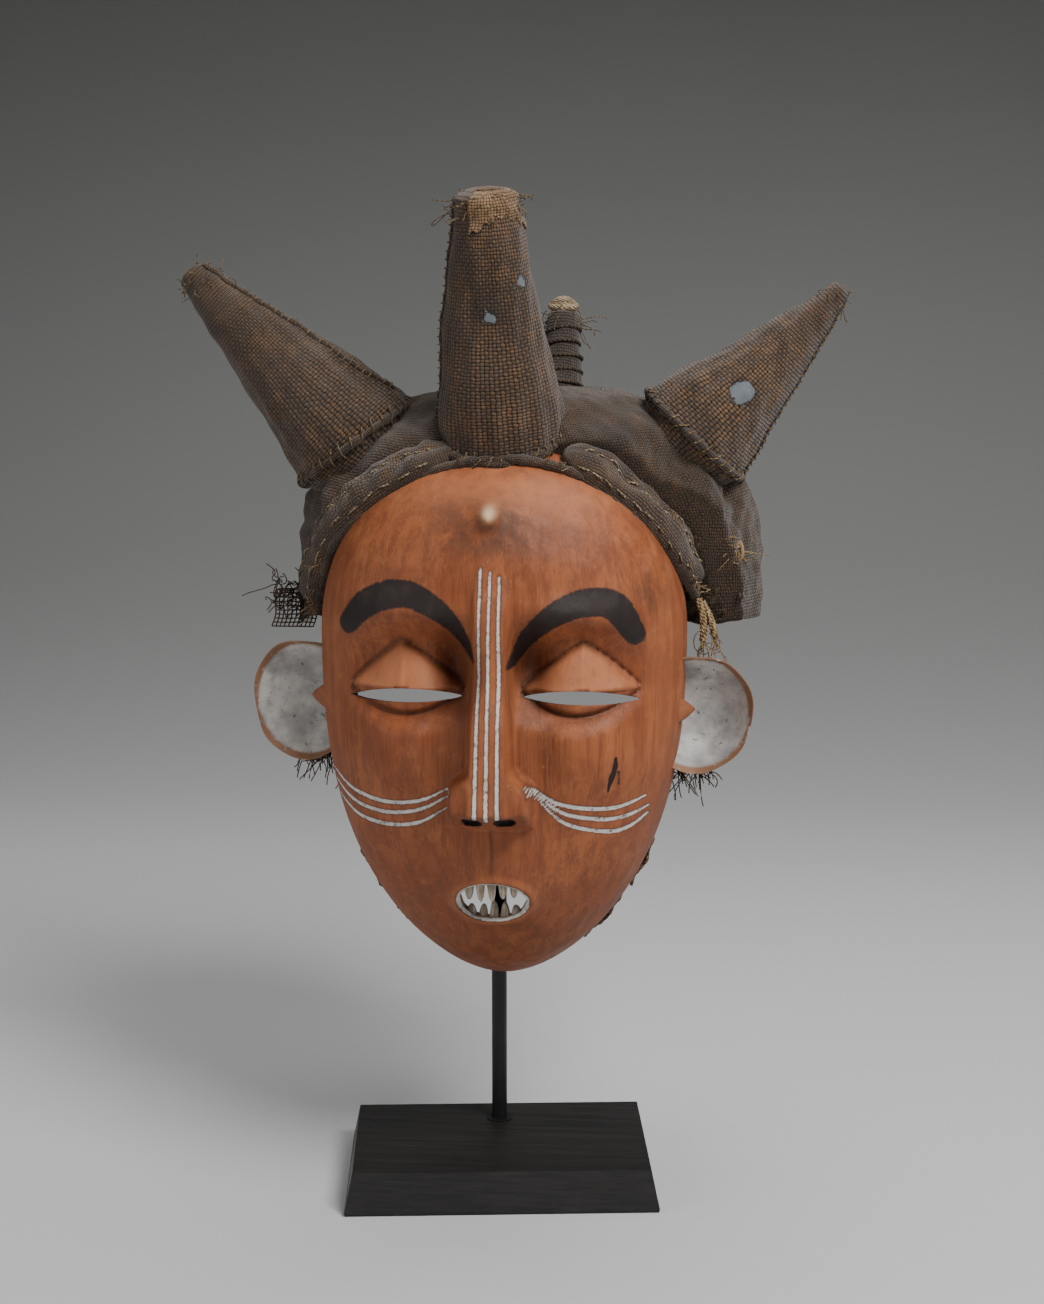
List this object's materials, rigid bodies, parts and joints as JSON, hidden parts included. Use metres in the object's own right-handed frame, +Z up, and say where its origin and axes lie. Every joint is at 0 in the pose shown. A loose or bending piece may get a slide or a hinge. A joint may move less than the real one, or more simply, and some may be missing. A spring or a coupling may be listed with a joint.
{
  "type": "carved wooden mask",
  "caption": "Carved wooden face mask with a padded cloth cap and stuffed cloth horns, lifting off a turning post on a flat base.",
  "frame": {"origin": "on the surface that the base stands on, in the mask's middle plane, level with the post's axis", "axes": "+Z up, -Y the way the face looks, +X to the right of somebody who looks at the face"},
  "size_m": [0.4052, 0.2598, 0.6087],
  "materials": {
    "carved_wood": "satin",
    "cloth_dark": "matte",
    "cloth_brown": "matte",
    "cloth_lining": "matte",
    "fibre_filling": "matte",
    "raffia": "matte",
    "bark": "matte",
    "net": "matte",
    "stand_black": "satin",
    "base_wood": "satin",
    "brass": "satin",
    "felt": "matte",
    "zinc_steel": "satin"
  },
  "bodies": {
    "base": {"base_block": "base_wood", "base_felt": "felt", "socket_sleeve": "brass"},
    "post": {"mount_post": "stand_black", "crown_bar": "stand_black", "crown_pad_left": "felt", "crown_pad_right": "felt", "chin_pad": "felt", "retaining_washer": "zinc_steel", "retaining_screw": "zinc_steel"},
    "mask": {"carved_face": "carved_wood", "cap_crown": "cloth_dark", "cap_padding": "fibre_filling", "cap_lining": "cloth_lining", "cap_piping": "cloth_brown", "brow_roll_left": "cloth_brown", "brow_roll_right": "cloth_brown", "horn_front_cloth": "cloth_dark", "horn_front_filling": "fibre_filling", "horn_front_seam": "cloth_brown", "horn_front_patch": "raffia", "horn_left_cloth": "cloth_dark", "horn_left_filling": "fibre_filling", "horn_left_seam": "cloth_brown", "horn_right_cloth": "cloth_dark", "horn_right_filling": "fibre_filling", "horn_right_seam": "cloth_brown", "horn_back_cloth": "cloth_dark", "horn_back_filling": "fibre_filling", "horn_back_seam": "cloth_brown", "horn_back_knot": "raffia", "net_scrap": "net", "rear_tuft": "raffia", "jaw_strip_left": "bark", "jaw_strip_right": "bark"}
  },
  "joints": [
    {"name": "post_turn", "type": "hinge", "parent": "base", "child": "post", "pos_m": [-0.0045, 0, 0], "axis": [0, 0, 1], "continuous": true},
    {"name": "mask_lift", "type": "slide", "parent": "post", "child": "mask", "axis": [0, 0, 1], "range_m": [0, 0.06]}
  ]
}
